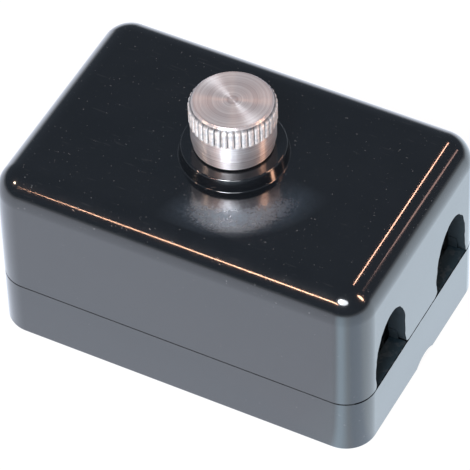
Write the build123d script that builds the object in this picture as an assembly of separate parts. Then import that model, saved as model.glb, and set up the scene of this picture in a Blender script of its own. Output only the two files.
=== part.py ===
# Two-way fuse box: a moulded base and cover held together by one knurled nut on a central bolt.
#
# Lengths in millimetres. The long sides run along X, +Z is up, and the origin is the middle of the
# underside. The two circuits run along X, side by side, each with a torpedo fuse between two contacts.

from build123d import *
from math import cos, radians, sin, sqrt, tan
import os

# Box, outside
length = 60.0
width = 40.0
base_height = 9.8
cover_height = 21.1
corner_radius = 4.7  # of the upright corners and of the cover's top edges
foot_edge = 0.3

# Walls and the joint between base and cover
wall = 2.8
roof = 3.0
floor = 3.0
lip_height = 2.4
lip_thickness = 1.35
lip_clearance = 0.15
parting_gap = 0.08  # between the two rims

# Circuits, each in the middle between the channel for the panel screws and a side wall
middle_channel = 5.6

# Cable entries, an arch for each circuit in both ends of the cover
entry_width = 9.7
entry_height = 11.4
entry_corner = 0.5

# Collar on top of the cover
collar_radius = 8.05
collar_height = 2.05
collar_draft = 9.0  # degrees

# Threads, all M4
thread_radius = 2.0
thread_pitch = 0.7
running_clearance = 0.05
hole_clearance = 0.3

# Knurled nut
nut_turns = 9  # turns of the bolt's thread inside it when the box is closed
nut_height = 8.35
nut_top_radius = 5.65
nut_top_chamfer = 0.74
knurl_height = 3.7  # from the knurl's lower end to the top face
skirt_radius = 6.2
ridge_count = 40
ridge_height = 0.32
ridge_crest = 0.4  # share of the pitch that the flat of a ridge takes
nut_turned = 6.9  # degrees, how far round the first ridge stands

# Thin washer under the knurled nut
washer_radius = 5.6
washer_thickness = 0.25

# Central bolt, its head in a recess under the base, and the hexagon nut on the pillar
hex_width = 7.0
hex_height = 3.2
hex_chamfer = 0.35
head_recess_clearance = 0.15
bolt_head_height = 2.8
bolt_head_sink = 0.8  # from the underside to the head

# Pillar in the base
pillar_fuse_gap = 1.4  # to the fuse beside it
pillar_roof_gap = 2.78  # from the hexagon nut to the cover's roof

# Terminals
terminal_wall_gap = 7.2  # from an end wall to the screw's axis
block_height = 7.6  # above the underside
block_width = 11.0
block_inner_gap = 2.4  # from a contact's upright to the block
pocket_width = 7.2
square_nut_width = 7.0
square_nut_height = 3.2
clamp_size = 8.0
clamp_thickness = 1.2
head_radius = 3.5
head_height = 2.6
slot_width = 1.0
slot_depth = 1.3
screw_reach = 5.1  # thread under the head

# Contacts, each with a slot in its foot that slides under the clamping plate
contact_width = 7.0
contact_thickness = 0.7
contact_bend = 0.8  # inside radius
contact_rise = 10.4  # from the foot's upper face to the lip
contact_lip = 2.0
contact_lip_angle = 30.0  # degrees from upright
contact_end_gap = 1.6  # from the foot's outer end to the box wall

# Torpedo fuses, 25 long in a box of this length
fuse_terminal_gap = 7.5  # from a fuse's tip to the terminal screw's axis
fuse_radius = 3.0
fuse_tip_radius = 0.75
fuse_axis_height = 6.0  # above the contacts' feet
cone_length = 2.3
strip_thickness = 0.25
strip_width = 1.8
strip_sink = 0.75  # of the strip's lower face under the barrel's surface
seat_clearance = 0.05

# Left between flat faces that part when a nut or screw is undone
seat_gap = 0.02

# Panel screws, two holes through the floor on the middle line of the base
panel_wall_gap = 7.2  # from an end wall to the hole's axis
panel_hole_radius = 2.1
panel_head_room = 4.8  # radius that the barrier leaves free for a screw's head

# Insulating walls between the circuits
barrier_thickness = 1.8
barrier_height = 12.0  # of the wall in the base, above the underside
barrier_gap = 1.0  # between the walls in the base and in the cover
barrier_pillar_gap = 0.8  # from the wall in the cover to the pillar

# Relief in the lower edge of the right end
relief_width = 5.8
relief_height = 1.2
relief_depth = 1.2
relief_offset = 1.2

# Worked out from the sizes above
cover_rim = base_height + parting_gap
box_height = cover_rim + cover_height
roof_underside = box_height - roof
collar_top = box_height + collar_height
skirt_thickness = wall - lip_thickness - lip_clearance
inner_end = length / 2 - wall
pole_y = (width / 2 - wall + middle_channel / 2) / 2
pillar_radius = pole_y - fuse_radius - pillar_fuse_gap
pillar_height = roof_underside - pillar_roof_gap - hex_height
terminal_offset = inner_end - terminal_wall_gap
panel_offset = inner_end - panel_wall_gap
fuse_length = 2 * (terminal_offset - fuse_terminal_gap)
entry_radius = entry_width / 2
thread_hole_radius = thread_radius + running_clearance
clear_hole_radius = thread_radius + hole_clearance
washer_seat = collar_top + seat_gap
nut_seat = washer_seat + washer_thickness + seat_gap
nut_top = nut_seat + nut_height
bolt_top = nut_seat + nut_turns * thread_pitch
nut_bore_top = bolt_top + hole_clearance
foot_bottom = block_height
foot_top = foot_bottom + contact_thickness
fuse_z = foot_top + fuse_axis_height
cone_slope = (fuse_radius - fuse_tip_radius) / cone_length
seat_depth = 0.45 * cone_length  # how far each cone stands in its contact
seat_radius = fuse_tip_radius + cone_slope * seat_depth + seat_clearance
upright_x = fuse_length / 2 - seat_depth  # inner face of each upright
block_start = upright_x + contact_thickness + block_inner_gap
foot_end = inner_end - contact_end_gap
clamp_seat = foot_top + seat_gap
clamp_top = clamp_seat + clamp_thickness
head_seat = clamp_top + seat_gap
pocket_floor = block_height - square_nut_height - seat_clearance
bolt_head_top = bolt_head_sink + bolt_head_height


def outline(inset=0.0):
    """Outline of both mouldings, drawn in by an even amount."""
    return RectangleRounded(length - 2 * inset, width - 2 * inset, corner_radius - inset)


def at_poles(shape):
    """The shape in the middle of each circuit."""
    return Sketch() + [Pos(0, side * pole_y) * shape for side in (-1, 1)]


def hexagon(across_flats):
    """Hexagon of the given width across its flats."""
    return RegularPolygon(across_flats / sqrt(3), 6)


def disc(radius, bottom, top):
    """Upright cylinder between two heights."""
    return Pos(0, 0, bottom) * extrude(Circle(radius), top - bottom)


def entry_outline():
    """Arch of one cable entry, standing on the base's rim, in width and height."""
    straight = entry_height - entry_radius
    return Pos(0, straight / 2) * Rectangle(entry_width, straight) + Pos(0, straight) * Circle(entry_radius)


def entry_cut(inner, outer):
    """Both arches along X, through both ends between two distances from the middle."""
    arches = Sketch() + [Pos(side * pole_y, base_height) * entry_outline() for side in (-1, 1)]
    bars = []
    for side in (-1, 1):
        middle = side * (inner + outer) / 2
        plane = Plane(origin=(middle, 0, 0), x_dir=(0, 1, 0), z_dir=(1, 0, 0))
        bars.append(extrude(plane * arches, (outer - inner) / 2, both=True))
    return bars


def relief_cut():
    """Shallow arched relief in the lower edge of the right end."""
    radius = (relief_width**2 / 4 + relief_height**2) / (2 * relief_height)
    plane = Plane(origin=(length / 2 - relief_depth, relief_offset, relief_height - radius),
                  x_dir=(0, 1, 0), z_dir=(1, 0, 0))
    return extrude(plane * Circle(radius), 2 * relief_depth)


def base():
    """Shallow tray with the lip, pillar, terminal blocks, barrier and panel screw holes."""
    shell = extrude(outline(), base_height)
    shell = chamfer(shell.edges().group_by(Axis.Z)[0], foot_edge)
    lip = extrude(outline(wall - lip_thickness), base_height + lip_height)
    hollow = Pos(0, 0, floor) * extrude(outline(wall), base_height + lip_height)
    moulding = shell + lip - hollow
    moulding -= entry_cut(length / 2 - 2 * wall, length / 2 + wall)

    block = Rectangle(inner_end + wall / 2 - block_start, block_width)
    middle = (inner_end + wall / 2 + block_start) / 2
    blocks = extrude(Sketch() + [at_poles(Pos(side * middle, 0) * block) for side in (-1, 1)], block_height)
    pillar = disc(pillar_radius, 0, pillar_height)
    barrier = Rectangle(2 * (panel_offset - panel_head_room), barrier_thickness)
    moulding += [blocks, pillar, extrude(barrier, barrier_height)]

    bolt_hole = disc(thread_radius, 0, pillar_height)
    head_recess = extrude(hexagon(hex_width + 2 * head_recess_clearance), bolt_head_top)
    pocket = Rectangle(pocket_width, pocket_width)
    pockets = Sketch() + [at_poles(Pos(side * terminal_offset, 0) * pocket) for side in (-1, 1)]
    panel_hole = disc(panel_hole_radius, 0, floor)
    moulding -= [Pos(side * panel_offset, 0, 0) * panel_hole for side in (-1, 1)]
    moulding -= [bolt_hole, head_recess, relief_cut()]
    return moulding - Pos(0, 0, pocket_floor) * extrude(pockets, block_height)


def cover():
    """Box-shaped cover with its collar, the arches, the rebate for the lip and a barrier."""
    block = Pos(0, 0, cover_rim + cover_height / 2) * Box(length, width, cover_height)
    shell = fillet(block.edges().filter_by(Axis.Z) + block.edges().group_by(Axis.Z)[-1], corner_radius)
    hollow = Pos(0, 0, cover_rim) * extrude(outline(wall), cover_height - roof)
    rebate = Pos(0, 0, cover_rim) * extrude(outline(skirt_thickness), lip_height + lip_clearance)
    collar_top_radius = collar_radius - collar_height * tan(radians(collar_draft))
    collar = Pos(0, 0, box_height + collar_height / 2) * Cone(collar_radius, collar_top_radius, collar_height)
    moulding = shell - hollow - rebate + collar

    wall_start = pillar_radius + barrier_pillar_gap
    wall_bottom = barrier_height + barrier_gap
    barrier = Rectangle(inner_end - wall_start, barrier_thickness)
    middle = (inner_end + wall_start) / 2
    barriers = Sketch() + [Pos(side * middle, 0) * barrier for side in (-1, 1)]
    moulding += Pos(0, 0, wall_bottom) * extrude(barriers, roof_underside + roof / 2 - wall_bottom)

    moulding -= entry_cut(length / 2 - 2 * wall, length / 2 + wall)
    rim_corners = [
        edge
        for edge in moulding.edges().filter_by(Axis.X)
        if abs(edge.center().Z - cover_rim) < seat_gap
        and abs(edge.center().X) > inner_end
    ]
    moulding = fillet(rim_corners, entry_corner)
    return moulding - disc(clear_hole_radius, roof_underside - roof, collar_top)


def hexagon_nut(seat):
    """Hexagon nut standing on the given height, with its upper face chamfered."""
    corner = hex_width / sqrt(3)
    block = Pos(0, 0, seat) * extrude(hexagon(hex_width), hex_height)
    band = disc(corner, seat, seat + hex_height)
    band = chamfer(band.edges().group_by(Axis.Z)[-1], hex_chamfer)
    return (block & band) - disc(thread_radius, seat, seat + hex_height)


def plain_washer(outer, seat, thickness, hole):
    """Flat washer standing on the given height."""
    return disc(outer, seat, seat + thickness) - disc(hole, seat, seat + thickness)


def centre_bolt():
    """Long bolt through the pillar, with its hexagon head in the recess under the base."""
    head = Pos(0, 0, bolt_head_sink) * extrude(hexagon(hex_width), bolt_head_height)
    return head + disc(thread_radius, bolt_head_top, bolt_top)


def knurled_nut():
    """Turned nut: plain skirt, ridged band, chamfered closed top and a blind bore."""
    knurl_bottom = nut_top - knurl_height
    crest = nut_top_radius + nut_top_chamfer
    root = crest - ridge_height
    pitch = 360 / ridge_count
    corners = []
    for ridge in range(ridge_count):
        for share, radius in ((-1, root), (-ridge_crest, crest), (ridge_crest, crest)):
            angle = radians(pitch * (ridge + share / 2))
            corners.append((radius * cos(angle), radius * sin(angle)))
    ridges = make_face(Polyline(*corners, close=True))
    shoulder = nut_top - nut_top_chamfer
    band = Pos(0, 0, knurl_bottom) * extrude(ridges, shoulder - knurl_bottom)
    drawn_in = scale(ridges, nut_top_radius / crest)
    top = loft([Pos(0, 0, shoulder) * ridges, Pos(0, 0, nut_top) * drawn_in], ruled=True)
    bore = disc(thread_hole_radius, nut_seat, nut_bore_top)
    return Rot(0, 0, nut_turned) * (disc(skirt_radius, nut_seat, knurl_bottom) + band + top - bore)


def contact():
    """Sprung contact of the right end of a circuit: foot, upright with a round seat, and a lip."""
    half = contact_thickness / 2
    lean = radians(contact_lip_angle)
    upright = upright_x + half
    lip_start = foot_top + contact_rise
    path = FilletPolyline(
        (foot_end, 0, foot_bottom + half),
        (upright, 0, foot_bottom + half),
        (upright, 0, lip_start),
        (upright + contact_lip * sin(lean), 0, lip_start + contact_lip * cos(lean)),
        radius=contact_bend + half,
    )
    section = Plane(origin=path @ 0, x_dir=(0, 1, 0), z_dir=path % 0) * Rectangle(
        contact_width, contact_thickness)
    strip = sweep(section, path=path)
    seat = Pos(upright, 0, fuse_z) * Rot(0, 90, 0) * Cylinder(seat_radius, 4 * contact_thickness)
    slot_length = foot_end - terminal_offset
    slot = Circle(clear_hole_radius) + Pos(slot_length / 2, 0) * Rectangle(slot_length, 2 * clear_hole_radius)
    slot = Pos(terminal_offset, 0, 0) * extrude(slot, block_height + 2 * contact_thickness)
    return strip - seat - slot


def square_nut():
    """Square nut in its pocket under the contact's foot, in the middle of the box."""
    top = foot_bottom - seat_clearance / 2
    block = Pos(0, 0, top - square_nut_height) * extrude(
        Rectangle(square_nut_width, square_nut_width), square_nut_height)
    return block - disc(thread_hole_radius, 0, top)


def clamp_washer():
    """Square clamping plate that rests on the contact's foot."""
    plate = Pos(0, 0, clamp_seat) * extrude(Rectangle(clamp_size, clamp_size), clamp_thickness)
    return plate - disc(clear_hole_radius, clamp_seat, clamp_top)


def terminal_screw():
    """Cheese-head screw with a straight slot."""
    head = disc(head_radius, head_seat, head_seat + head_height)
    shank = disc(thread_radius, head_seat - screw_reach, head_seat)
    slot = Pos(0, 0, head_seat + head_height - slot_depth / 2) * Box(3 * head_radius, slot_width, slot_depth)
    return head + shank - slot


def fuse_body():
    """Ceramic barrel with a channel for the fuse strip along its top."""
    shoulder = fuse_length / 2 - cone_length
    barrel = Rot(0, 90, 0) * Cylinder(fuse_radius, 2 * shoulder)
    channel_bottom = fuse_radius - strip_sink
    channel = Pos(0, 0, channel_bottom + fuse_radius / 2) * Box(
        fuse_length, strip_width + 2 * seat_clearance, fuse_radius)
    return Pos(0, 0, fuse_z) * (barrel - channel)


def fuse_strip():
    """Copper strip in the channel, in one piece with the conical cap on each end of the barrel."""
    shoulder = fuse_length / 2 - cone_length
    cone = Rot(0, 90, 0) * Cone(fuse_radius, fuse_tip_radius, cone_length)
    cone = Pos(shoulder + cone_length / 2, 0, 0) * cone
    strip_middle = fuse_radius - strip_sink + strip_thickness / 2
    strip = Pos(0, 0, strip_middle) * Box(2 * shoulder + strip_thickness, strip_width, strip_thickness)
    return Pos(0, 0, fuse_z) * (cone + strip + mirror(cone, Plane.YZ))


def write(shape, node):
    """One STEP file for one node."""
    export_step(shape, f"parts/{node}.step")


os.makedirs("parts", exist_ok=True)

write(base(), "base")
write(cover(), "cover")
write(centre_bolt(), "centre_bolt")
write(hexagon_nut(pillar_height), "pillar_nut")
write(plain_washer(washer_radius, washer_seat, washer_thickness, clear_hole_radius), "nut_washer")
write(knurled_nut(), "knurled_nut")

for side_name, side in (("front", -1), ("rear", 1)):
    write(Pos(0, side * pole_y, 0) * fuse_body(), f"fuse_body_{side_name}")
    write(Pos(0, side * pole_y, 0) * fuse_strip(), f"fuse_strip_{side_name}")
    for end_name, end in (("left", -1), ("right", 1)):
        place = Pos(end * terminal_offset, side * pole_y, 0)
        spring = contact() if end == 1 else mirror(contact(), Plane.YZ)
        write(Pos(0, side * pole_y, 0) * spring, f"contact_{side_name}_{end_name}")
        write(place * square_nut(), f"terminal_nut_{side_name}_{end_name}")
        write(place * clamp_washer(), f"clamp_washer_{side_name}_{end_name}")
        write(place * terminal_screw(), f"terminal_screw_{side_name}_{end_name}")
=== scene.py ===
from math import atan2, cos, pi, radians, sin, sqrt, tan

import bmesh
import bpy
from mathutils import Matrix, Vector, noise as Noise


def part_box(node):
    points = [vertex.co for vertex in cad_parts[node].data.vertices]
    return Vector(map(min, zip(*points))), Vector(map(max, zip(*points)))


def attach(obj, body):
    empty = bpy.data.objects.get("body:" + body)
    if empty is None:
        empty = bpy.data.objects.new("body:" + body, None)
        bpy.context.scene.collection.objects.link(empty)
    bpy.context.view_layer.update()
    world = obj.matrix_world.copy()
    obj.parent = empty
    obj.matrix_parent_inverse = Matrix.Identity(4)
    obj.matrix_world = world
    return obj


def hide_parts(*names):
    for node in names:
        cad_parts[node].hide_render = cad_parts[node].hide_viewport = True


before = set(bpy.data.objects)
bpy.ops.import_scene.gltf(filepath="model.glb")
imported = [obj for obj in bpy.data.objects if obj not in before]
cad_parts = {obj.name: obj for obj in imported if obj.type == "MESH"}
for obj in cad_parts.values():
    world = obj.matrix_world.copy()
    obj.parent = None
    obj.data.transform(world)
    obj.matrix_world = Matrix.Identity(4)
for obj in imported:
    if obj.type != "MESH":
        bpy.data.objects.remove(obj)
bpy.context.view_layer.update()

mm = 0.001

# Sizes of the real box, the same as the solids' own
length = 60.0 * mm
width = 40.0 * mm
base_height = 9.8 * mm
corner_radius = 4.7 * mm
foot_edge = 0.3 * mm
wall = 2.8 * mm
roof = 3.0 * mm
floor_thickness = 3.0 * mm
roof_round = 1.0 * mm
lip_height = 2.4 * mm
lip_thickness = 1.35 * mm
lip_clearance = 0.15 * mm
die_edge = 0.04 * mm  # rounding that the moulding's edges leave the die with
pole_y = 10.0 * mm
entry_width = 9.7 * mm
entry_height = 11.4 * mm
entry_corner = 0.42 * mm
collar_radius = 8.05 * mm
collar_height = 2.05 * mm
collar_draft = radians(9.0)
collar_root = 0.2 * mm
collar_edge = 0.3 * mm
thread_radius = 2.0 * mm
thread_pitch = 0.7 * mm
thread_depth = 0.35 * mm
thread_clearance = 0.05 * mm
clear_hole_radius = 2.3 * mm
hex_width = 7.0 * mm
bolt_head_height = 2.8 * mm
bolt_head_sink = 0.8 * mm
recess_width = 7.3 * mm
pillar_radius = 5.6 * mm
pillar_height = 22.0 * mm
barrier_thickness = 1.8 * mm
barrier_height = 12.0 * mm
barrier_gap = 1.0 * mm
barrier_pillar_gap = 0.8 * mm
panel_offset = 20.0 * mm
panel_hole_radius = 2.1 * mm
panel_head_room = 4.8 * mm
terminal_offset = 20.0 * mm
block_start = 14.565 * mm
block_width = 11.0 * mm
block_height = 7.6 * mm
pocket_width = 7.2 * mm
pocket_floor = 4.35 * mm
relief_width = 5.8 * mm
relief_height = 1.2 * mm
relief_depth = 1.2 * mm
relief_offset = 1.2 * mm

cover_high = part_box("cover")[1]
nut_low, nut_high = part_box("knurled_nut")
parting_gap = 0.04 * mm
cover_rim = base_height + parting_gap
collar_top = cover_high.z
roof_top = collar_top - collar_height
roof_under = roof_top - roof
inner_end = length / 2 - wall
ends = {"left": -1, "right": 1}
sides = {"front": -1, "rear": 1}


# Materials

def new_material(name, **values):
    """A node material, its shader's plain values set by socket name."""
    material = bpy.data.materials.new(name)
    material.use_nodes = True
    shader = material.node_tree.nodes["Principled BSDF"]
    for key, value in values.items():
        shader.inputs[SOCKETS[key]].default_value = value
    return material, material.node_tree, shader


SOCKETS = {"colour": "Base Color", "metal": "Metallic", "rough": "Roughness", "ior": "IOR",
           "coat": "Coat Weight", "coat_rough": "Coat Roughness", "coat_ior": "Coat IOR",
           "streaked": "Anisotropic"}


def add_node(tree, kind, sources=(), **settings):
    """One shader node: its settings, and what feeds its first sockets (a number, colour or socket)."""
    node = tree.nodes.new(kind)
    for key, value in settings.items():
        setattr(node, key, value)
    for socket, source in zip(node.inputs, sources):
        feed(tree, socket, source)
    return node


def feed(tree, socket, source):
    """Links a socket to a source, or sets its value."""
    if isinstance(source, bpy.types.NodeSocket):
        tree.links.new(source, socket)
    elif source is not None:
        socket.default_value = source


def calculate(tree, operation, *sources):
    """A number from one Math node."""
    return add_node(tree, "ShaderNodeMath", sources, operation=operation).outputs[0]


def times(tree, first, second):
    """The product of two numbers."""
    return calculate(tree, "MULTIPLY", first, second)


def plus(tree, first, second):
    """The sum of two numbers."""
    return calculate(tree, "ADD", first, second)


def minus(tree, first, second):
    """What is left of the first number."""
    return calculate(tree, "SUBTRACT", first, second)


def larger(tree, first, second):
    """The larger of two numbers."""
    return calculate(tree, "MAXIMUM", first, second)


def unsigned(tree, value):
    """A number without its sign."""
    return calculate(tree, "ABSOLUTE", value)


def is_over(tree, value, limit):
    """1 where a value is over a limit."""
    return calculate(tree, "GREATER_THAN", value, limit)


def is_under(tree, value, limit):
    """1 where a value is under a limit."""
    return calculate(tree, "LESS_THAN", value, limit)


def object_coordinates(tree, stretch=(1.0, 1.0, 1.0), turn=0.0):
    """Object coordinates, turned about Z and stretched."""
    source = add_node(tree, "ShaderNodeTexCoord").outputs["Object"]
    return add_node(tree, "ShaderNodeMapping", (source, (0, 0, 0), (0, 0, turn), stretch)).outputs[0]


def noise(tree, vector, scale, detail=2.0, roughness=0.5):
    """A noise texture's value."""
    node = add_node(tree, "ShaderNodeTexNoise")
    values = {"Vector": vector, "Scale": scale, "Detail": detail, "Roughness": roughness}
    for socket, source in values.items():
        feed(tree, node.inputs[socket], source)
    return node.outputs["Fac"]


def remap(tree, value, low, high, to_low, to_high):
    """A value moved from one range to another, clamped."""
    return add_node(tree, "ShaderNodeMapRange", (value, low, high, to_low, to_high)).outputs["Result"]


def blend(tree, share, first, second):
    """A colour between two others."""
    node = add_node(tree, "ShaderNodeMix", data_type="RGBA")
    for socket, source in (("Factor", share), ("A", first), ("B", second)):
        chosen = [s for s in node.inputs if s.name == socket and s.type in ("RGBA", "VALUE")]
        feed(tree, chosen[-1] if socket != "Factor" else chosen[0], source)
    return next(s for s in node.outputs if s.type == "RGBA")


def bump(tree, height, depth, under=None):
    """A bump of the given depth in metres, laid over another one if it's given."""
    node = add_node(tree, "ShaderNodeBump")
    node.inputs["Distance"].default_value = depth
    feed(tree, node.inputs["Height"], height)
    feed(tree, node.inputs["Normal"], under)
    return node.outputs["Normal"]


def scratches(tree, turn, stretch, threshold):
    """Short straight hairlines in one direction."""
    lines = noise(tree, object_coordinates(tree, (stretch, 1, 1), turn), 2600, 1, 0.4)
    return remap(tree, lines, threshold, threshold + 0.03, 0, 1)


def distance_from_bolt(tree, split):
    """How far a point is from the bolt's axis."""
    squares = [times(tree, split[i], split[i]) for i in (0, 1)]
    return calculate(tree, "SQRT", plus(tree, *squares))


def within(tree, value, low, high):
    """1 where a value lies between two limits."""
    return times(tree, is_over(tree, value, low), is_under(tree, value, high))


def filed_faces(tree, split):
    """1 on the cut faces of the cable entries, and 1 on the trimmed rims where the mouldings meet."""
    beside = minus(tree, unsigned(tree, split[1]), pole_y)
    cut = is_under(tree, unsigned(tree, beside), entry_width / 2 + 0.3 * mm)
    upright = within(tree, split[2], base_height - 0.03 * mm, base_height + entry_height + 0.3 * mm)
    cut = times(tree, cut, upright)
    along = unsigned(tree, split[0])
    cut = times(tree, cut, within(tree, along, inner_end - 0.1 * mm, length / 2 - 0.12 * mm))
    rim = within(tree, split[2], base_height - 0.11 * mm, cover_rim + 0.11 * mm)
    return cut, rim


def inside_box(tree, split):
    """1 on the hidden inner faces of the mouldings, which the die leaves matt, and which get a painted
    lighter colour.
    """
    shares = [is_under(tree, unsigned(tree, split[0]), inner_end + 0.05 * mm),
              is_under(tree, unsigned(tree, split[1]), width / 2 - wall + 0.05 * mm),
              is_under(tree, split[2], roof_under + 0.05 * mm),
              is_over(tree, split[2], floor_thickness - 0.05 * mm)]
    value = shares[0]
    for share in shares[1:]:
        value = times(tree, value, share)
    return value


# Where fingers rub the roof in front of the collar, and where a painted glow stands for the nut's light
# thrown onto the roof: distances from the bolt, and the direction
rub_glow_starts = 9.0 * mm
rub_glow_full = 12.5 * mm
rub_glow_fades = 13.5 * mm
rub_glow_ends = 17.0 * mm
rub_glow_direction = (0.55, -0.835)


def black_moulding():
    """Glossy pressed phenolic: nearly black, with dust, hairlines, haze where fingers turn the nut, a
    painted bluish glow over that haze, and painted lighter inner faces.
    """
    material, tree, shader = new_material("black_moulding", ior=1.65, coat_rough=0.05, coat_ior=1.62)
    place = object_coordinates(tree)
    split = add_node(tree, "ShaderNodeSeparateXYZ", (place,)).outputs
    away = distance_from_bolt(tree, split)
    inside = inside_box(tree, split)
    filed, rim = filed_faces(tree, split)
    # This patch holds real rubbing (haze, grit) and a painted glow; it lies on the camera's side of the
    # collar.
    rubbed_and_glow = times(tree, remap(tree, away, rub_glow_fades, rub_glow_ends, 1, 0),
                   remap(tree, away, rub_glow_starts, rub_glow_full, 0, 1))
    rubbed_and_glow = times(tree, rubbed_and_glow, is_over(tree, split[2], roof_top - 0.1 * mm))
    forward = minus(tree, times(tree, split[0], rub_glow_direction[0]), times(tree, split[1], -rub_glow_direction[1]))
    forward = calculate(tree, "DIVIDE", forward, away)
    rubbed_and_glow = times(tree, rubbed_and_glow, remap(tree, forward, 0.62, 0.92, 0.0, 1.0))
    grit = noise(tree, place, 2400, 4, 0.7)
    rubbed_and_glow = times(tree, rubbed_and_glow, remap(tree, grit, 0.32, 0.58, 0.45, 1.0))
    mottle = remap(tree, noise(tree, place, 170, 4, 0.6), 0.35, 0.7, 0, 1)
    colour = blend(tree, mottle, (0.003, 0.0042, 0.0058, 1), (0.0046, 0.006, 0.008, 1))
    dust = remap(tree, noise(tree, place, 2300, 1, 0.5), 0.735, 0.765, 0, 1)
    lines = plus(tree, scratches(tree, 0.5, 0.1, 0.74), scratches(tree, -0.9, 0.12, 0.74))
    marks = plus(tree, dust, times(tree, lines, 0.12))
    colour = blend(tree, calculate(tree, "MINIMUM", marks, 1.0), colour, (0.075, 0.078, 0.08, 1))
    # Painted light: a lighter bluish colour on the inner faces stands in for light inside the box.
    colour = blend(tree, inside, colour, (0.045, 0.06, 0.068, 1))
    colour = blend(tree, filed, colour, (0.026, 0.045, 0.058, 1))
    wide_rim = within(tree, split[2], base_height - 0.17 * mm, cover_rim + 0.17 * mm)
    seam = times(tree, wide_rim, remap(tree, unsigned(tree, split[0]), 25 * mm, 28.5 * mm, 0, 1))
    seam = times(tree, seam, remap(tree, noise(tree, place, 800, 2, 0.5), 0.38, 0.48, 0.3, 1.0))
    feed(tree, shader.inputs["Base Color"], colour)
    # Painted reflection: a bluish tint on the patch's gloss.
    feed(tree, shader.inputs["Specular Tint"], blend(tree, rubbed_and_glow, (1, 1, 1, 1), (0.72, 0.87, 1, 1)))
    matt = larger(tree, inside, larger(tree, filed, rim))
    haze = larger(tree, times(tree, rubbed_and_glow, 0.47), times(tree, matt, 0.7))
    polish = remap(tree, noise(tree, place, 320, 6, 0.7), 0.35, 0.75, 0.12, 0.18)
    feed(tree, shader.inputs["Roughness"], larger(tree, haze, polish))
    uncoated = larger(tree, times(tree, rubbed_and_glow, 0.95), matt)
    # Painted reflection: the patch's index is raised so the roof shines with the nut's glow.
    index = plus(tree, 1.65, times(tree, rubbed_and_glow, 3.8))
    feed(tree, shader.inputs["IOR"], minus(tree, index, times(tree, seam, 0.62)))
    feed(tree, shader.inputs["Coat Weight"], minus(tree, 1.0, uncoated))
    waves = bump(tree, noise(tree, place, 75, 1, 0.4), 0.000012)
    waves = bump(tree, marks, 0.000004, waves)
    waves = bump(tree, times(tree, grit, plus(tree, rubbed_and_glow, matt)), 0.00001, waves)
    feed(tree, shader.inputs["Normal"], waves)
    feed(tree, shader.inputs["Coat Normal"], waves)
    return material


def turned_aluminium():
    """Turned aluminium: rings left by the tool, a shine drawn out across them, dirt and painted shade
    between the ridges.
    """
    material, tree, shader = new_material("turned_aluminium", streaked=0.92)
    place = object_coordinates(tree)
    split = add_node(tree, "ShaderNodeSeparateXYZ", (place,)).outputs
    radius = distance_from_bolt(tree, split)
    wander = times(tree, noise(tree, place, 420, 2, 0.5), 0.0002)
    rings = add_node(tree, "ShaderNodeCombineXYZ", (plus(tree, radius, wander), split[2], 0.0)).outputs[0]
    fine = noise(tree, rings, 6500, 3, 0.7)
    broad = noise(tree, rings, 2700, 3, 0.65)
    stain = remap(tree, noise(tree, place, 330, 4, 0.6), 0.35, 0.7, 0, 1)
    in_band = is_over(tree, split[2], nut_high.z - knurl_height + 0.1 * mm)
    outside = is_over(tree, radius, nut_top_radius + 0.3 * mm)
    ridged = times(tree, in_band, outside)
    uneven = remap(tree, noise(tree, place, 1500, 2, 0.6), 0.36, 0.6, 0, 1)
    rolled = blend(tree, uneven, (0.66, 0.71, 0.75, 1), (0.99, 0.98, 0.97, 1))
    tint = blend(tree, remap(tree, broad, 0.35, 0.65, 0, 1), (0.58, 0.53, 0.54, 1), (0.97, 0.96, 0.965, 1))
    tint = blend(tree, ridged, tint, rolled)
    tint = blend(tree, times(tree, stain, 0.35), tint, (0.78, 0.66, 0.63, 1))
    below = is_under(tree, split[2], nut_high.z - knurl_height)
    # Darker in the grooves between the ridges: dirt, and painted shade.
    deep = remap(tree, radius, 6.1 * mm, 6.3 * mm, 1, 0)
    groove_grime_and_shade = times(tree, ridged, deep)
    groove_grime_and_shade = times(tree, groove_grime_and_shade, remap(tree, noise(tree, place, 700, 3, 0.6), 0.3, 0.6, 0.6, 1.0))
    feed(tree, shader.inputs["Base Color"], blend(tree, groove_grime_and_shade, tint, (0.13, 0.14, 0.155, 1)))
    feed(tree, shader.inputs["Roughness"], remap(tree, fine, 0.3, 0.7, 0.34, 0.46))
    metal = plus(tree, 0.6, times(tree, below, 0.22))
    feed(tree, shader.inputs["Metallic"], minus(tree, metal, times(tree, ridged, 0.25)))
    plain = minus(tree, 1.0, ridged)
    marks = times(tree, broad, plain)
    feed(tree, shader.inputs["Normal"], bump(tree, marks, 0.00005, bump(tree, fine, 0.00001)))
    faced = is_over(tree, split[2], nut_high.z - 0.03 * mm)
    feed(tree, shader.inputs["Anisotropic Rotation"], minus(tree, 0.25, times(tree, faced, 0.12)))
    around = add_node(tree, "ShaderNodeVectorMath", ((0, 0, 1), place), operation="CROSS_PRODUCT").outputs[0]
    turned = add_node(tree, "ShaderNodeVectorTransform", (around,), vector_type="VECTOR",
                      convert_from="OBJECT", convert_to="WORLD").outputs[0]
    feed(tree, shader.inputs["Tangent"], turned)
    return material


def plated_steel():
    """Zinc plating, clouded pale grey with a trace of yellow."""
    material, tree, shader = new_material("plated_steel", metal=1.0)
    place = object_coordinates(tree)
    cloud = remap(tree, noise(tree, place, 420, 4, 0.6), 0.35, 0.65, 0, 1)
    feed(tree, shader.inputs["Base Color"], blend(tree, cloud, (0.52, 0.53, 0.54, 1), (0.68, 0.67, 0.62, 1)))
    grain = noise(tree, place, 2600, 4, 0.65)
    feed(tree, shader.inputs["Roughness"], remap(tree, grain, 0.3, 0.7, 0.26, 0.42))
    feed(tree, shader.inputs["Normal"], bump(tree, grain, 0.000004))
    return material


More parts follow.
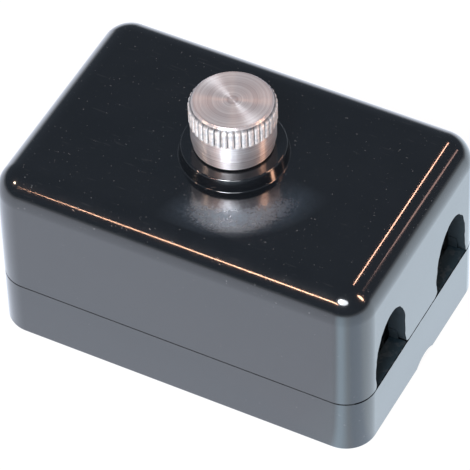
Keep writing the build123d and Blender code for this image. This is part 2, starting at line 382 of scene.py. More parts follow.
def rolled_metal(name, pale, dark, stretch, rough):
    """Brass or copper with lines along its rolling direction and darker tarnish in patches."""
    material, tree, shader = new_material(name, metal=1.0)
    patches = remap(tree, noise(tree, object_coordinates(tree), 240, 5, 0.65), 0.42, 0.72, 0, 1)
    feed(tree, shader.inputs["Base Color"], blend(tree, patches, pale, dark))
    lines = noise(tree, object_coordinates(tree, stretch), 3800, 3, 0.6)
    feed(tree, shader.inputs["Roughness"], remap(tree, lines, 0.3, 0.7, rough, rough + 0.14))
    feed(tree, shader.inputs["Normal"], bump(tree, lines, 0.000003))
    return material


def pressed_fibre():
    """Dark vulcanised fibre with short matted hairs."""
    material, tree, shader = new_material("pressed_fibre")
    hairs = noise(tree, object_coordinates(tree, (1, 0.25, 1), 0.7), 5200, 3, 0.6)
    feed(tree, shader.inputs["Base Color"],
         blend(tree, remap(tree, hairs, 0.4, 0.7, 0, 1), (0.018, 0.017, 0.016, 1), (0.05, 0.045, 0.04, 1)))
    feed(tree, shader.inputs["Roughness"], remap(tree, hairs, 0.3, 0.7, 0.6, 0.8))
    feed(tree, shader.inputs["Normal"], bump(tree, hairs, 0.00001))
    return material


def glazed_ceramic():
    """White steatite under a thin glaze, with a few dark specks and slight ripples."""
    material, tree, shader = new_material("glazed_ceramic", coat=0.7, coat_rough=0.08, rough=0.35)
    place = object_coordinates(tree)
    tint = blend(tree, noise(tree, place, 200, 3, 0.5), (0.80, 0.77, 0.70, 1), (0.86, 0.84, 0.79, 1))
    specks = remap(tree, noise(tree, place, 1900, 1, 0.5), 0.73, 0.77, 0, 0.6)
    feed(tree, shader.inputs["Base Color"], blend(tree, specks, tint, (0.35, 0.29, 0.22, 1)))
    ripples = bump(tree, noise(tree, place, 480, 1, 0.4), 0.00002)
    feed(tree, shader.inputs["Normal"], ripples)
    feed(tree, shader.inputs["Coat Normal"], ripples)
    return material


# Shapes

def block(shape, low, high):
    """An upright block between two opposite corners."""
    made = bmesh.ops.create_cube(shape, size=1.0)["verts"]
    bmesh.ops.scale(shape, vec=[b - a for a, b in zip(low, high)], verts=made)
    bmesh.ops.translate(shape, vec=[(a + b) / 2 for a, b in zip(low, high)], verts=made)
    return made


def tube_end(shape, radius, low, high, across=(0, 0), steps=48):
    """An upright round bar; with six steps it is a hexagon bar with flats to the front and rear."""
    made = bmesh.ops.create_cone(shape, cap_ends=True, segments=steps, radius1=radius, radius2=radius,
                                 depth=high - low)["verts"]
    bmesh.ops.translate(shape, vec=(across[0], across[1], (low + high) / 2), verts=made)
    return made


def round_edges(shape, edges, radius, steps):
    """Rounds the given edges."""
    bmesh.ops.bevel(shape, geom=edges, offset=radius, segments=steps, profile=0.5, affect="EDGES",
                    material=-1)


def upright_edges(shape):
    """The edges that stand upright."""
    return [e for e in shape.edges if abs(e.verts[0].co.z - e.verts[1].co.z) > 1e-6]


def ring_edges(shape, height):
    """The edges that lie at one height."""
    return [e for e in shape.edges if all(abs(v.co.z - height) < 1e-7 for v in e.verts)]


def rounded_plate(size_x, size_y, low, high, corner, steps=12):
    """A plate or block with rounded upright corners, in the middle of the box."""
    shape = bmesh.new()
    block(shape, (-size_x / 2, -size_y / 2, low), (size_x / 2, size_y / 2, high))
    round_edges(shape, upright_edges(shape), corner, steps)
    return shape


def spun(profile, steps=96):
    """A turned shape from the (radius, height) points of its outline, spun about the Z axis."""
    shape = bmesh.new()
    points = [shape.verts.new((r, 0, z)) for r, z in profile]
    edges = [shape.edges.new(pair) for pair in zip(points, points[1:])]
    bmesh.ops.spin(shape, geom=points + edges, cent=(0, 0, 0), axis=(0, 0, 1), dvec=(0, 0, 0),
                   angle=2 * pi, steps=steps, use_merge=True)
    bmesh.ops.remove_doubles(shape, verts=shape.verts, dist=1e-7)
    bmesh.ops.recalc_face_normals(shape, faces=shape.faces)
    return shape


def arc(centre, radius, start, stop, steps):
    """Points of an outline's rounding, between two angles in degrees."""
    angles = [radians(start + (stop - start) * i / steps) for i in range(steps + 1)]
    return [(centre[0] + radius * cos(a), centre[1] + radius * sin(a)) for a in angles]


def to_object(shape, name):
    """The shape as an object at the origin."""
    mesh = bpy.data.meshes.new(name)
    shape.to_mesh(mesh)
    shape.free()
    made = bpy.data.objects.new(name, mesh)
    bpy.context.scene.collection.objects.link(made)
    return made


def combine(body, shape, operation):
    """Cuts a shape from the body, joins it on, or keeps what both share."""
    tool = to_object(shape, "tool")
    step = body.modifiers.new("step", "BOOLEAN")
    step.object = tool
    step.operation = operation
    step.solver = "EXACT"
    bpy.context.view_layer.update()
    graph = bpy.context.evaluated_depsgraph_get()
    mesh = bpy.data.meshes.new_from_object(body.evaluated_get(graph))
    body.modifiers.clear()
    body.data = mesh
    bpy.data.objects.remove(tool)
    return body


def break_edges(piece, radius, angle=50, steps=2):
    """A small rounding on every edge that is sharper than the angle."""
    shape = bmesh.new()
    shape.from_mesh(piece.data)
    bmesh.ops.remove_doubles(shape, verts=shape.verts, dist=2e-6)
    bmesh.ops.dissolve_degenerate(shape, edges=shape.edges, dist=1e-6)
    sharp = [e for e in shape.edges if len(e.link_faces) == 2 and e.calc_face_angle(0) > radians(angle)]
    round_edges(shape, sharp, radius, steps)
    shape.to_mesh(piece.data)
    shape.free()
    return piece


def finish_piece(piece, material, body, slot, *nodes, crease=35):
    """Smooth shading up to a crease angle, the finish, and the place in the frame."""
    mesh = piece.data
    mesh.materials.clear()
    mesh.materials.append(material)
    mesh.shade_smooth()
    mesh.set_sharp_from_angle(angle=radians(crease))
    weigh = piece.modifiers.new("even shading", "WEIGHTED_NORMAL")
    weigh.keep_sharp = True
    weigh.weight = 100
    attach(piece, body)
    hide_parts(*nodes)
    return piece


# Mouldings

def filed_offset(across, height, side):
    """Where a point of a cable entry's outline lies beside its middle, filed by hand above the foot."""
    foot = min(1.0, max(0.0, height / mm - 1.0) / 1.6)
    if across > 0:
        across *= 1 - 0.085 * foot
    else:
        across *= 1 + (0.055 - 0.115 * max(0.0, height / mm - 3.0) / 8.4) * foot
    if height > 5.0 * mm and abs(across) > 1e-6:
        half = entry_width / 2
        drawn = sqrt(half**2 - max(0.0, height - entry_height + half)**2)
        across *= half * sqrt(1 - ((height - 5.0 * mm) / (entry_height - 4.98 * mm))**2) / drawn
    where = Vector((side * 3.1, side * 9 + across / mm, 9.8 + height / mm)) * 0.9
    wander = Noise.noise(where) * 0.17 + Noise.noise(where * 3.3) * 0.09
    return across + wander * foot * mm


def entry_bar(shape, side, end, low):
    """A cable entry as a bar along X with a round top, cut through one end wall."""
    half = entry_width / 2
    spring = entry_height - half
    foot = 1.4 * mm
    heights = [low - base_height, 0.95 * mm] + [foot + (spring - foot) * i / 9 for i in range(9)]
    outline = [(-half, height) for height in heights] + list(arc((0, spring), half, 180, 0, 48))
    outline += [(half, height) for height in reversed(heights)]
    rows = []
    for x in (end * (length / 2 - 2 * wall), end * (length / 2 + wall)):
        rows.append([shape.verts.new((x, side * pole_y + filed_offset(across, height, side),
                                      base_height + height)) for across, height in outline])
    first, second = rows
    for i in range(len(outline)):
        j = (i + 1) % len(outline)
        shape.faces.new((first[i], first[j], second[j], second[i]))
    shape.faces.new(first)
    shape.faces.new(second)
    bmesh.ops.recalc_face_normals(shape, faces=shape.faces)


def entry_bars(low):
    """All four cable entries."""
    shape = bmesh.new()
    for side in sides.values():
        for end in ends.values():
            entry_bar(shape, side, end, low)
    return shape


def build_cover(material):
    """Box-shaped shell with its collar, hollow, rebate, barrier walls and cable entries."""
    shell = bmesh.new()
    block(shell, (-length / 2, -width / 2, cover_rim), (length / 2, width / 2, roof_top))
    upper = [e for e in shell.edges if any(v.co.z > cover_rim + wall for v in e.verts)]
    round_edges(shell, upper, corner_radius, 24)
    cover = to_object(shell, "moulded_cover")

    top_radius = collar_radius - tan(collar_draft) * collar_height
    profile = [(0, roof_top - wall / 2), (collar_radius + collar_root, roof_top - wall / 2)]
    profile += arc((collar_radius + collar_root, roof_top + collar_root - 0.005 * mm),
                   collar_root, 270, 189, 5)
    profile += arc((top_radius - collar_edge, collar_top - collar_edge), collar_edge, 9, 90, 6)
    combine(cover, spun(profile + [(0, collar_top)], 144), "UNION")

    hollow = rounded_plate(length - 2 * wall, width - 2 * wall, cover_rim - wall, roof_under,
                           corner_radius - wall)
    round_edges(hollow, ring_edges(hollow, roof_under), roof_round, 6)
    combine(cover, hollow, "DIFFERENCE")
    skirt = wall - lip_thickness - lip_clearance
    rebate = rounded_plate(length - 2 * skirt, width - 2 * skirt, cover_rim - wall,
                           cover_rim + lip_height + lip_clearance, corner_radius - skirt)
    combine(cover, rebate, "DIFFERENCE")

    barriers = bmesh.new()
    wall_start = pillar_radius + barrier_pillar_gap
    for end in ends.values():
        inner, outer = sorted((end * wall_start, end * (inner_end + wall / 2)))
        block(barriers, (inner, -barrier_thickness / 2, barrier_height + barrier_gap),
              (outer, barrier_thickness / 2, roof_top - roof / 2))
    combine(cover, barriers, "UNION")

    cuts = entry_bars(cover_rim - wall)
    tube_end(cuts, clear_hole_radius, roof_under - wall, collar_top + wall)
    combine(cover, cuts, "DIFFERENCE")
    shape = bmesh.new()
    shape.from_mesh(cover.data)
    corners = [e for e in shape.edges if all(abs(v.co.z - cover_rim) < 1e-6 for v in e.verts)
               and abs(e.verts[0].co.y - e.verts[1].co.y) < 1e-6
               and abs(abs(abs(e.verts[0].co.y) - pole_y) - entry_width / 2) < 1e-6]
    round_edges(shape, corners, entry_corner, 6)
    for v in shape.verts:
        beyond = abs(abs(v.co.y) - pole_y) - entry_width / 2
        if -1e-6 < beyond < entry_corner + 1e-6 and v.co.z < cover_rim + entry_corner + 1e-6:
            v.co.z = cover_rim + (v.co.z - cover_rim) * 2
            if abs(v.co.y) < pole_y:
                v.co.y -= 3 * beyond * (1 if v.co.y > 0 else -1)
    shape.to_mesh(cover.data)
    shape.free()
    break_edges(cover, die_edge)
    return finish_piece(cover, material, "cover", "black_moulding_cover", "cover")


def build_base(material):
    """Tray with the lip, pillar, barrier, terminal blocks, pockets, screw holes and relief."""
    shell = rounded_plate(length, width, 0.0, base_height, corner_radius, 24)
    round_edges(shell, ring_edges(shell, 0.0), foot_edge, 2)
    base = to_object(shell, "moulded_base")

    inset = wall - lip_thickness
    lip = to_object(rounded_plate(length - 2 * inset, width - 2 * inset, wall, base_height + lip_height,
                                  corner_radius - inset), "lip")
    combine(lip, entry_bars(base_height - wall), "DIFFERENCE")
    raised = bmesh.new()
    raised.from_mesh(lip.data)
    bpy.data.objects.remove(lip)
    combine(base, raised, "UNION")
    hollow = rounded_plate(length - 2 * wall, width - 2 * wall, floor_thickness,
                           base_height + 2 * lip_height, corner_radius - wall)
    combine(base, hollow, "DIFFERENCE")

    solid = bmesh.new()
    for side in sides.values():
        for end in ends.values():
            inner, outer = sorted((end * block_start, end * (inner_end + wall / 2)))
            block(solid, (inner, side * pole_y - block_width / 2, floor_thickness / 2),
                  (outer, side * pole_y + block_width / 2, block_height))
    tube_end(solid, pillar_radius, floor_thickness / 2, pillar_height, steps=96)
    combine(base, solid, "UNION")
    barrier = bmesh.new()
    reach = panel_offset - panel_head_room
    block(barrier, (-reach, -barrier_thickness / 2, floor_thickness / 2),
          (reach, barrier_thickness / 2, barrier_height))
    combine(base, barrier, "UNION")

    cuts = bmesh.new()
    tube_end(cuts, thread_radius + thread_clearance, -wall, pillar_height + wall)
    half = pocket_width / 2
    for end in ends.values():
        tube_end(cuts, panel_hole_radius, -wall, 2 * floor_thickness, (end * panel_offset, 0))
        for side in sides.values():
            block(cuts, (end * terminal_offset - half, side * pole_y - half, pocket_floor),
                  (end * terminal_offset + half, side * pole_y + half, 2 * block_height))
    combine(base, cuts, "DIFFERENCE")
    recess = bmesh.new()
    tube_end(recess, recess_width / sqrt(3), -wall, bolt_head_sink + bolt_head_height, steps=6)
    combine(base, recess, "DIFFERENCE")

    radius = (relief_width**2 / 4 + relief_height**2) / (2 * relief_height)
    relief = bmesh.new()
    made = tube_end(relief, radius, -relief_depth, relief_depth, steps=72)
    bmesh.ops.rotate(relief, verts=made, cent=(0, 0, 0), matrix=Matrix.Rotation(pi / 2, 3, "Y"))
    bmesh.ops.translate(relief, vec=(length / 2, relief_offset, relief_height - radius), verts=made)
    combine(base, relief, "DIFFERENCE")
    break_edges(base, die_edge)
    return finish_piece(base, material, "base", "black_moulding", "base")


# Knurled nut

nut_top_radius = 5.65 * mm
nut_top_chamfer = 0.74 * mm
knurl_height = 3.7 * mm
skirt_radius = 6.2 * mm
foot_taper_height = 1.65 * mm
foot_taper = 0.12 * mm
ridge_count = 40
ridge_radius = 0.43 * mm
nut_turned = radians(6.9)
foot_draw = 0.16 * mm
bore_radius = 2.05 * mm
bore_chamfer = 0.4 * mm
bore_depth = 6.6 * mm
run_in = 0.5 * mm  # height over which the ridges rise at the band's lower end
band_rows = 16
ridge_steps = 16


def build_nut(material):
    """The spun nut, with its ridges raised on the band."""
    crest = nut_top_radius + nut_top_chamfer
    root = skirt_radius - foot_taper
    foot_radius = root - foot_draw
    band_low = nut_high.z - knurl_height
    band_high = nut_high.z - nut_top_chamfer
    bore_top = nut_low.z + bore_depth
    profile = [(0, bore_top), (bore_radius, bore_top), (bore_radius, nut_low.z + bore_chamfer),
               (bore_radius + bore_chamfer, nut_low.z), (foot_radius - 0.1 * mm, nut_low.z),
               (foot_radius, nut_low.z + 0.1 * mm),
               (skirt_radius - 0.02 * mm, nut_low.z + foot_taper_height - 0.06 * mm),
               (skirt_radius, nut_low.z + foot_taper_height), (skirt_radius, band_low - 0.05 * mm),
               (skirt_radius, band_low), (root, band_low + 0.015 * mm)]
    profile += [(root, band_low + share * mm) for share in (0.03, 0.05, 0.08, 0.12, 0.18, 0.26, 0.36, 0.5)]
    rise = (band_high - band_low - run_in) / band_rows
    profile += [(root, band_low + run_in + rise * i) for i in range(1, band_rows)]
    profile += [(root, nut_high.z - (root - nut_top_radius)), (nut_top_radius, nut_high.z),
                (nut_top_radius * 0.5, nut_high.z), (0, nut_high.z)]
    shape = spun(profile, ridge_count * ridge_steps)
    centre = crest - ridge_radius
    pitch = 2 * pi / ridge_count
    for v in shape.verts:
        radius = sqrt(v.co.x**2 + v.co.y**2)
        if v.co.z <= band_low or radius < root - 1e-6:
            continue
        angle = atan2(v.co.y, v.co.x) - nut_turned
        away = (angle + pitch / 2) % pitch - pitch / 2
        across = abs(centre * sin(away)) / ridge_radius
        end = min(0.0, v.co.z - band_low - ridge_radius) / ridge_radius
        left = 1 - across**3 - abs(end)**6
        if left <= 0:
            continue
        reach = centre * cos(away) + ridge_radius * left**(1 / 3)
        reach = max(radius, min(reach, nut_high.z - v.co.z + nut_top_radius))
        v.co.x *= reach / radius
        v.co.y *= reach / radius
    nut = to_object(shape, "turned_nut")
    return finish_piece(nut, material, "knurled_nut", "turned_aluminium", "knurled_nut", crease=30)


# Bolt, hexagon nut and washer

def thread(low, high, steps=24):
    """A threaded rod, its rolled groove wound up from below and cut square at both ends."""
    shape = bmesh.new()
    turns = int((high - low) / thread_pitch) + 3
    start = low - thread_pitch
    crest = thread_radius
    root = crest - thread_depth
    outline = [(root, 0.0), (root, 0.09), (crest, 0.44), (crest, 0.56), (root, 0.91), (root, 1.0)]
    points = [shape.verts.new((r, 0, start + share * thread_pitch)) for r, share in outline]
    edges = [shape.edges.new(pair) for pair in zip(points, points[1:])]
    bmesh.ops.spin(shape, geom=points + edges, cent=(0, 0, 0), axis=(0, 0, 1),
                   dvec=(0, 0, thread_pitch / steps), angle=2 * pi * turns, steps=steps * turns)
    bmesh.ops.remove_doubles(shape, verts=shape.verts, dist=1e-6)
    for height, upward in ((low, -1), (high, 1)):
        cut = bmesh.ops.bisect_plane(shape, geom=shape.verts[:] + shape.edges[:] + shape.faces[:],
                                     plane_co=(0, 0, height), plane_no=(0, 0, upward), clear_outer=True)
        edges = [g for g in cut["geom_cut"] if isinstance(g, bmesh.types.BMEdge)]
        bmesh.ops.contextual_create(shape, geom=edges)
    bmesh.ops.recalc_face_normals(shape, faces=shape.faces)
    return shape


def hexagon_bar(low, high):
    """A hexagon bar whose corners are turned off at both ends."""
    shape = bmesh.new()
    tube_end(shape, hex_width / sqrt(3), low, high, steps=6)
    bar = to_object(shape, "hexagon")
    corner = hex_width / sqrt(3)
    flat = 0.47 * hex_width
    drop = (corner - flat) * tan(radians(30))
    profile = [(0, low), (flat, low), (corner, low + drop), (corner, high - drop), (flat, high), (0, high)]
    combine(bar, spun(profile, 96), "INTERSECT")
    return bar


def build_bolt(material):
    """Long bolt: hexagon head below, threaded shank with a turned tip."""
    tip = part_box("centre_bolt")[1].z
    head_top = bolt_head_sink + bolt_head_height
    bolt = hexagon_bar(bolt_head_sink, head_top)
    bolt.name = "long_bolt"
    rod = to_object(thread(head_top - 0.6 * mm, tip), "rod")
    limit = [(0, 0), (3 * mm, 0), (3 * mm, tip - 1.8 * mm), (1.55 * mm, tip - 0.05 * mm),
             (1.4 * mm, tip - 0.005 * mm), (0, tip - 0.005 * mm)]
    combine(rod, spun(limit, 48), "INTERSECT")
    shank = bmesh.new()
    shank.from_mesh(rod.data)
    bpy.data.objects.remove(rod)
    combine(bolt, shank, "UNION")
    return finish_piece(bolt, material, "base", "plated_steel", "centre_bolt")


def build_pillar_nut(material):
    """Hexagon nut on the pillar."""
    low, high = (corner.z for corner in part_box("pillar_nut"))
    nut = hexagon_bar(low, high)
    nut.name = "hexagon_nut"
    hole = bmesh.new()
    tube_end(hole, thread_radius, low - wall, high + wall)
    combine(nut, hole, "DIFFERENCE")
    break_edges(nut, 0.05 * mm, 40)
    return finish_piece(nut, material, "base", "plated_steel", "pillar_nut")


def build_nut_washer(material):
    """Thin punched washer, rounded over on its outer edge."""
    low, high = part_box("nut_washer")
    inner = clear_hole_radius
    outer = high.x
    edge = 0.08 * mm
    profile = [(inner, low.z), (outer - edge, low.z), (outer, low.z + edge), (outer, high.z - edge)]
    profile += [(outer - edge, high.z), (inner, high.z), (inner, low.z)]
    washer = to_object(spun(profile, 96), "thin_washer")
    return finish_piece(washer, material, "nut_washer", "fibre", "nut_washer")


# Terminals and contacts

contact_width = 7.0 * mm
contact_thickness = 0.7 * mm
contact_bend = 0.8 * mm
contact_rise = 10.4 * mm
contact_lip = 2.0 * mm
contact_lip_lean = radians(30.0)
contact_end_gap = 1.6 * mm
upright_inner = 11.465 * mm
seat_radius = 1.8125 * mm
fuse_z = 14.3 * mm
head_radius = 3.5 * mm
slot_width = 1.0 * mm
slot_depth = 1.3 * mm
screw_head_height = 2.6 * mm
clamping_plate_width = 8.0 * mm


def build_contact(material, side_name, end_name):
    """Bent spring strip: slotted foot, upright with a round seat, and a lip that guides the fuse in."""
    side, end = sides[side_name], ends[end_name]
    shape = bmesh.new()
    foot_end = inner_end - contact_end_gap
    upright = upright_inner + contact_thickness
    lip_start = block_height + contact_thickness + contact_rise
    lip_end = (upright_inner + contact_lip * sin(contact_lip_lean),
               lip_start + contact_lip * cos(contact_lip_lean))
    route = [(foot_end, block_height), (upright_inner, block_height), (upright_inner, lip_start), lip_end]
    points = [shape.verts.new((x, -contact_width / 2, z)) for x, z in route]
    edges = [shape.edges.new(pair) for pair in zip(points, points[1:])]
    bmesh.ops.bevel(shape, geom=points[1:3], offset=(contact_bend + contact_thickness), segments=8,
                    profile=0.5, affect="VERTICES", offset_type="OFFSET", material=-1)
    grown = bmesh.ops.extrude_edge_only(shape, edges=shape.edges[:])["geom"]
    far = [g for g in grown if isinstance(g, bmesh.types.BMVert)]
    bmesh.ops.translate(shape, vec=(0, contact_width, 0), verts=far)
    bmesh.ops.recalc_face_normals(shape, faces=shape.faces)
    foot = next(f for f in shape.faces if abs(f.normal.z) > 0.99)
    if foot.normal.z < 0:
        bmesh.ops.reverse_faces(shape, faces=shape.faces)
    bmesh.ops.solidify(shape, geom=shape.faces[:], thickness=contact_thickness)
    bmesh.ops.recalc_face_normals(shape, faces=shape.faces)
    strip = to_object(shape, f"spring_contact_{side_name}_{end_name}")

    cuts = bmesh.new()
    seat = tube_end(cuts, seat_radius, -2 * contact_thickness, 2 * contact_thickness)
    bmesh.ops.rotate(cuts, verts=seat, cent=(0, 0, 0), matrix=Matrix.Rotation(pi / 2, 3, "Y"))
    bmesh.ops.translate(cuts, vec=(upright, 0, fuse_z), verts=seat)
    combine(strip, cuts, "DIFFERENCE")
    slot = bmesh.new()
    low, high = block_height - wall, block_height + wall
    block(slot, (terminal_offset, -clear_hole_radius, low), (foot_end + wall, clear_hole_radius, high))
    combine(strip, slot, "DIFFERENCE")
    slot_head = bmesh.new()
    tube_end(slot_head, clear_hole_radius, low, high, (terminal_offset, 0))
    combine(strip, slot_head, "DIFFERENCE")
    break_edges(strip, 0.06 * mm, 40)
    place(strip, end, side)
    return finish_piece(strip, material, "base", "brass_spring", f"contact_{side_name}_{end_name}")


def place(piece, end, side):
    """Moves a piece made for the right end, on the middle line, to its circuit and end."""
    shape = bmesh.new()
    shape.from_mesh(piece.data)
    if end < 0:
        bmesh.ops.scale(shape, vec=(-1, 1, 1), verts=shape.verts)
        bmesh.ops.reverse_faces(shape, faces=shape.faces)
    bmesh.ops.translate(shape, vec=(0, side * pole_y, 0), verts=shape.verts)
    shape.to_mesh(piece.data)
    shape.free()


def square_plate(size, low, high, corner, hole_radius, name, centre, edge):
    """Square plate with a round hole and broken edges, about an upright axis."""
    shape = rounded_plate(size, size, low, high, corner, 5)
    bmesh.ops.translate(shape, vec=(centre[0], centre[1], 0), verts=shape.verts)
    plate = to_object(shape, name)
    hole = bmesh.new()
    tube_end(hole, hole_radius, low - wall, high + wall, centre)
    combine(plate, hole, "DIFFERENCE")
    return break_edges(plate, edge, 40)


def build_screw(material, side_name, end_name):
    """Cheese-head screw with a straight slot and a cut thread."""
    node = f"terminal_screw_{side_name}_{end_name}"
    low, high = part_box(node)
    seat = high.z - screw_head_height
    edge = 0.3 * mm
    profile = [(0, seat)] + arc((head_radius - 0.1 * mm, seat + 0.1 * mm), 0.1 * mm, -90, 0, 3)
    profile += arc((head_radius - edge, high.z - edge), edge, 0, 90, 5) + [(0, high.z)]
    head = spun(profile, 64)
    screw = to_object(head, f"cheese_head_screw_{side_name}_{end_name}")
    slot = bmesh.new()
    block(slot, (-wall * 2, -slot_width / 2, high.z - slot_depth), (wall * 2, slot_width / 2, high.z + wall))
    combine(screw, slot, "DIFFERENCE")
    break_edges(screw, 0.06 * mm, 50)
    combine(screw, thread(low.z, seat + 0.3 * mm), "UNION")
    shape = bmesh.new()
    shape.from_mesh(screw.data)
    centre = ((low.x + high.x) / 2, (low.y + high.y) / 2, 0)
    bmesh.ops.translate(shape, vec=centre, verts=shape.verts)
    shape.to_mesh(screw.data)
    shape.free()
    return finish_piece(screw, material, f"screw_{side_name}_{end_name}", "brass_screw", node)


def build_terminal(steel, brass, side_name, end_name):
    """Square nut, clamping plate and screw of one terminal."""
    centre = (ends[end_name] * terminal_offset, sides[side_name] * pole_y)
    node = f"terminal_nut_{side_name}_{end_name}"
    low, high = (corner.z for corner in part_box(node))
    nut = square_plate(hex_width, low, high, 0.5 * mm, thread_radius + thread_clearance,
                       f"square_nut_{side_name}_{end_name}", centre, 0.15 * mm)
    finish_piece(nut, steel, "base", "plated_steel", node)
    node = f"clamp_washer_{side_name}_{end_name}"
    low, high = (corner.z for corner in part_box(node))
    plate = square_plate(clamping_plate_width, low, high, 0.6 * mm, clear_hole_radius,
                         f"clamping_plate_{side_name}_{end_name}", centre, 0.15 * mm)
    finish_piece(plate, steel, f"clamp_{side_name}_{end_name}", "plated_steel", node)
    build_screw(brass, side_name, end_name)


# Fuses

fuse_length = 25.0 * mm
fuse_radius = 3.0 * mm
fuse_tip_radius = 0.75 * mm
cone_length = 2.3 * mm
strip_width = 1.8 * mm
strip_thickness = 0.25 * mm
strip_sink = 0.75 * mm


def lay_down(shape, side):
    """Turns a shape spun about Z to lie along X in a circuit's fuse place."""
    bmesh.ops.rotate(shape, verts=shape.verts, cent=(0, 0, 0), matrix=Matrix.Rotation(pi / 2, 3, "Y"))
    bmesh.ops.translate(shape, vec=(0, side * pole_y, fuse_z), verts=shape.verts)
    return shape


def build_fuse(ceramic, copper, side_name):
    """Torpedo fuse: glazed ceramic barrel, pressed caps and the strip between them in its channel."""
    side = sides[side_name]
    shoulder = fuse_length / 2 - cone_length
    edge = 0.25 * mm
    profile = [(0, -shoulder)] + arc((fuse_radius - edge, -shoulder + edge), edge, -90, 0, 4)
    profile += arc((fuse_radius - edge, shoulder - edge), edge, 0, 90, 4) + [(0, shoulder)]
    barrel = to_object(lay_down(spun(profile, 72), side), f"ceramic_barrel_{side_name}")
    channel = bmesh.new()
    floor_z = fuse_z + fuse_radius - strip_sink
    half = strip_width / 2 + 0.05 * mm
    block(channel, (-fuse_length, side * pole_y - half, floor_z),
          (fuse_length, side * pole_y + half, fuse_z + 2 * fuse_radius))
    combine(barrel, channel, "DIFFERENCE")
    break_edges(barrel, 0.12 * mm, 40, 3)
    finish_piece(barrel, ceramic, "base", "ceramic", f"fuse_body_{side_name}")

    tip = 0.3 * mm
    profile = [(0, shoulder)] + arc((fuse_radius - 0.1 * mm, shoulder + 0.1 * mm), 0.1 * mm, -90, 40, 4)
    profile += arc((fuse_tip_radius - tip, fuse_length / 2 - tip), tip, 45, 90, 4) + [(0, fuse_length / 2)]
    caps = spun(profile, 72)
    near = to_object(lay_down(caps, side), f"fuse_caps_{side_name}")
    shape = bmesh.new()
    shape.from_mesh(near.data)
    bmesh.ops.mirror(shape, geom=shape.verts[:] + shape.edges[:] + shape.faces[:], axis="X", merge_dist=-1)
    bmesh.ops.recalc_face_normals(shape, faces=shape.faces)
    shape.to_mesh(near.data)
    shape.free()
    strip = bmesh.new()
    reach = shoulder + strip_thickness / 2
    block(strip, (-reach, side * pole_y - strip_width / 2, floor_z),
          (reach, side * pole_y + strip_width / 2, floor_z + strip_thickness))
    combine(near, strip, "UNION")
    return finish_piece(near, copper, "base", "copper", f"fuse_strip_{side_name}")


# The studio

def light_path(tree, *kinds):
    """1 for the named kinds of ray."""
    outputs = add_node(tree, "ShaderNodeLightPath").outputs
    value = outputs[kinds[0]]
    for kind in kinds[1:]:
        value = larger(tree, value, outputs[kind])
    return value


def build_floor():
    """Pale floor that shows white to the camera, greyer towards its rim where only the gloss sees it, with
    painted bluish reflections for the right end and the near corner.
    """
    plane = bmesh.new()
    bmesh.ops.create_grid(plane, x_segments=1, y_segments=1, size=3.0,
                          matrix=Matrix.Translation((0, 0, -0.02 * mm)))
    ground = to_object(plane, "studio_floor")
    material, tree, shader = new_material("studio_floor", colour=(0.8, 0.8, 0.8, 1), rough=1.0)
    ground.data.materials.append(material)
    place = object_coordinates(tree)
    away = add_node(tree, "ShaderNodeVectorMath", (place,), operation="LENGTH").outputs["Value"]
    seen = light_path(tree, "Is Camera Ray")
    level = larger(tree, remap(tree, away, 0.12, 0.7, 1.0, 0.45), times(tree, seen, 1.08))
    # Painted reflections, seen only in the gloss: bluish beside the right end, a bright band and a dimmer
    # dip round the near front-right corner.
    across = add_node(tree, "ShaderNodeSeparateXYZ", (object_coordinates(tree),)).outputs
    beside_end = remap(tree, across[0], 0.018, 0.032, 0, 1)
    tinted = blend(tree, beside_end, (0.94, 1.03, 1.2, 1), (1.03, 1.22, 1.39, 1))
    beyond = minus(tree, across[0], length / 2 - corner_radius)
    before = plus(tree, across[1], width / 2 - corner_radius)
    turn = calculate(tree, "ARCTAN2", before, beyond)
    band = times(tree, remap(tree, turn, -1.7, -1.45, 0, 1), remap(tree, turn, -1.3, -1.0, 1, 0))
    tinted = blend(tree, band, tinted, (1.5, 1.9, 2.25, 1))
    dip = times(tree, remap(tree, turn, -1.0, -0.8, 0, 1), remap(tree, turn, -0.35, -0.05, 1, 0))
    tinted = blend(tree, dip, tinted, (0.84, 1.04, 1.27, 1))
    colour = blend(tree, seen, tinted, (1, 1, 1, 1))
    glow = add_node(tree, "ShaderNodeEmission", (colour, level))
    share = times(tree, light_path(tree, "Is Camera Ray", "Is Glossy Ray", "Is Transmission Ray"), 0.85)
    mix = add_node(tree, "ShaderNodeMixShader", (share, shader.outputs[0], glow.outputs[0]))
    below = add_node(tree, "ShaderNodeNewGeometry").outputs["Backfacing"]
    clear = add_node(tree, "ShaderNodeBsdfTransparent")
    mix = add_node(tree, "ShaderNodeMixShader", (below, mix.outputs[0], clear.outputs[0]))
    tree.links.new(mix.outputs[0], tree.nodes["Material Output"].inputs["Surface"])


def build_world():
    """A dim room above the horizon, and white behind the object for the camera."""
    world = bpy.data.worlds.new("studio")
    world.use_nodes = True
    bpy.context.scene.world = world
    tree = world.node_tree
    direction = add_node(tree, "ShaderNodeTexCoord").outputs["Generated"]
    height = add_node(tree, "ShaderNodeSeparateXYZ", (direction,)).outputs[2]
    room = blend(tree, remap(tree, height, -0.03, 0.11, 0, 1), (0.5, 0.53, 0.57, 1), (0.10, 0.12, 0.15, 1))
    colour = blend(tree, light_path(tree, "Is Camera Ray"), room, (1, 1, 1, 1))
    feed(tree, tree.nodes["Background"].inputs["Color"], colour)


def add_lamp(name, direction, width, height, level, colour=(1, 1, 1), distance=1.2):
    """A soft lamp that faces the box; its level is what it adds to a white surface that faces it."""
    data = bpy.data.lights.new(name, "AREA")
    data.shape = "ELLIPSE"
    data.size = width
    data.size_y = height
    data.energy = level * pi * pi * distance**2
    data.color = colour
    lamp = bpy.data.objects.new(name, data)
    target = Vector((0, 0, 0.025))
    lamp.location = target + Vector(direction).normalized() * distance
    lamp.rotation_euler = (-Vector(direction)).to_track_quat("-Z", "Y").to_euler()
    bpy.context.scene.collection.objects.link(lamp)


frame_pixels = 470
focal_pixels = 4121.66


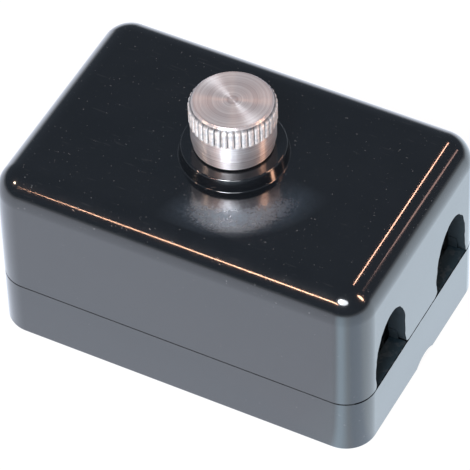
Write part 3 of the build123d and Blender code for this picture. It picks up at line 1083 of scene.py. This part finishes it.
def add_camera():
    """The photograph's own view, from the front right and above."""
    data = bpy.data.cameras.new("camera")
    data.sensor_width = 36.0
    data.lens = data.sensor_width * focal_pixels / frame_pixels
    data.shift_x = (frame_pixels / 2 - 244.11) / frame_pixels
    data.shift_y = (226.35 - frame_pixels / 2) / frame_pixels
    data.clip_start = 0.01
    camera = bpy.data.objects.new("camera", data)
    right = Vector((0.88869, 0.45797, -0.02236))
    down = Vector((0.32096, -0.65615, -0.68298))
    ahead = Vector((-0.32745, 0.59977, -0.7301))
    turn = Matrix((right, -down, -ahead)).transposed().to_4x4()
    camera.matrix_world = Matrix.Translation(Vector((0.198149, -0.360722, 0.455087))) @ turn
    bpy.context.scene.collection.objects.link(camera)
    bpy.context.scene.camera = camera


black = black_moulding()
aluminium = turned_aluminium()
steel = plated_steel()
spring_brass = rolled_metal("rolled_brass", pale=(0.74, 0.55, 0.27, 1), dark=(0.5, 0.36, 0.17, 1),
                            stretch=(0.08, 1, 0.08), rough=0.24)
screw_brass = rolled_metal("turned_brass", pale=(0.78, 0.6, 0.32, 1), dark=(0.55, 0.42, 0.22, 1),
                           stretch=(1, 1, 1), rough=0.22)
copper = rolled_metal("tinned_copper", pale=(0.80, 0.46, 0.31, 1), dark=(0.52, 0.29, 0.19, 1),
                      stretch=(0.08, 1, 1), rough=0.22)
fibre = pressed_fibre()
ceramic = glazed_ceramic()

build_cover(black)
build_base(black)
build_nut(aluminium)
build_bolt(steel)
build_pillar_nut(steel)
build_nut_washer(fibre)
for side_name in sides:
    build_fuse(ceramic, copper, side_name)
    for end_name in ends:
        build_contact(spring_brass, side_name, end_name)
        build_terminal(steel, screw_brass, side_name, end_name)

build_floor()
build_world()
warm = (1.0, 0.55, 0.36)
add_lamp("flash", (0.045, -0.65, 0.76), 0.36, 0.26, 0.55, (0.97, 1.0, 1.05))
add_lamp("flash_rim", (0.17, -0.64, 0.75), 0.8, 0.42, 0.45, (0.97, 1.0, 1.05), 1.25)
add_lamp("front_bulb", (-0.217, -0.74, 0.585), 0.42, 0.035, 0.12, warm)
add_lamp("rear_bulb", (0.175, 0.614, 0.77), 0.035, 0.15, 0.028, (1.0, 0.52, 0.36))
add_lamp("rear_lamp", (0.62, 0.617, 0.485), 0.04, 0.15, 0.004, (1.0, 0.6, 0.5))
add_lamp("left_bulb", (-0.63, -0.51, 0.585), 0.08, 0.08, 0.16, (1.0, 0.72, 0.55))
add_lamp("end_bulb", (0.795, 0.198, 0.574), 0.15, 0.55, 0.32, warm)
add_camera()

bpy.context.scene.view_settings.view_transform = "Standard"
